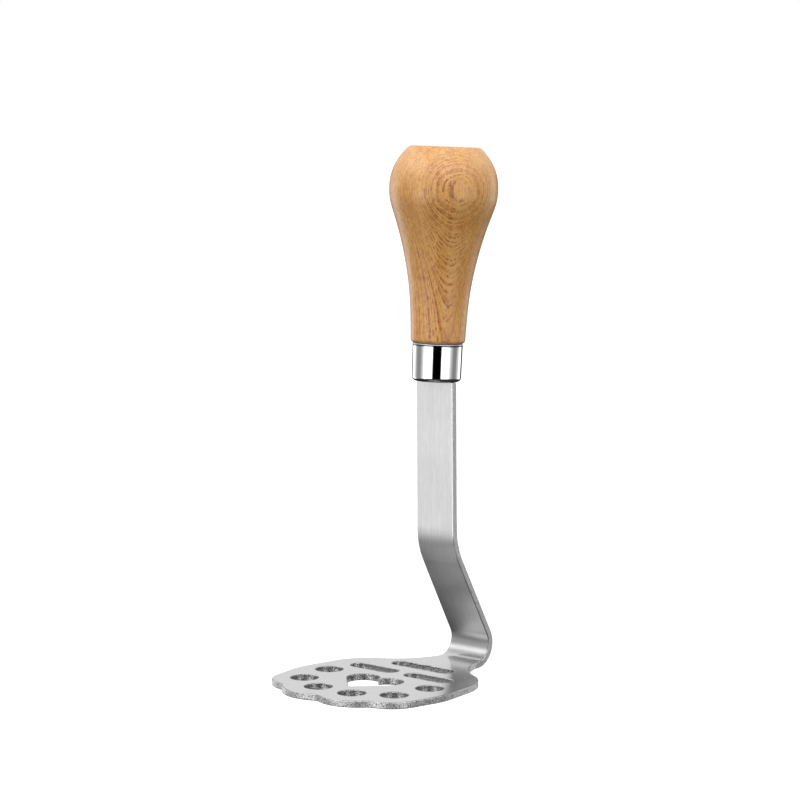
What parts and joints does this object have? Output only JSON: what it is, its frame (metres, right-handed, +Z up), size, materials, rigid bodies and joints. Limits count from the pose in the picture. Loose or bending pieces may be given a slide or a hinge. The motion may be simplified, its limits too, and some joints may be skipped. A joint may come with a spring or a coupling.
{
  "type": "hand masher",
  "caption": "Small hand masher: a flat scalloped plate with round, slotted and heart-shaped openings on a cranked steel strap, with a ferrule and a turned wooden handle.",
  "frame": {"origin": "middle of the bounding box in X and Y, on the surface that the plate's underside rests on", "axes": "+Z up, along the upright strap; +X across the plate and the strap; the plate reaches towards -Y and the lower bend is on the +Y side"},
  "size_m": [0.0542, 0.0705, 0.15],
  "materials": {
    "stainless_sheet": "brushed along the strap, rough on the cut edges",
    "chrome": "polished",
    "beech": "clear satin lacquer over open grain",
    "adhesive": "cured, hidden in the handle"
  },
  "bodies": {
    "root": {"blade": "stainless_sheet", "ferrule": "chrome", "handle": "beech", "tang_adhesive": "adhesive"}
  },
  "joints": []
}
